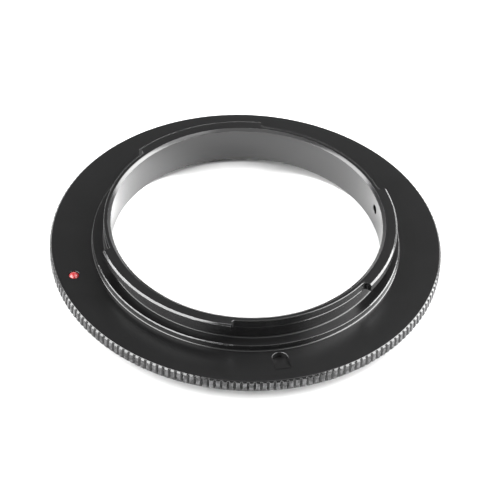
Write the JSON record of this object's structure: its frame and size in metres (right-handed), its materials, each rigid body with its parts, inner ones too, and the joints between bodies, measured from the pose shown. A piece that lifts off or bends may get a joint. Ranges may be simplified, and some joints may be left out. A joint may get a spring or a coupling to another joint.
{
  "type": "macro reverse ring",
  "caption": "Knurled ring that joins a camera's bayonet mount to a lens's filter thread, so that the lens is fitted the wrong way round for close-up work.",
  "frame": {"origin": "on the optical axis at the end face of the filter thread, which the ring stands on", "axes": "+Z along the optical axis, towards the camera; -Y is the side with the lock-pin slot, as the picture sees it"},
  "size_m": [0.0688, 0.0688, 0.0101],
  "materials": {
    "anodised": "black satin anodised",
    "enamel": "red gloss enamel",
    "steel": "ground"
  },
  "bodies": {
    "root": {"ring_body": "anodised", "index_dot": "enamel", "stop_pin": "steel"}
  },
  "joints": []
}
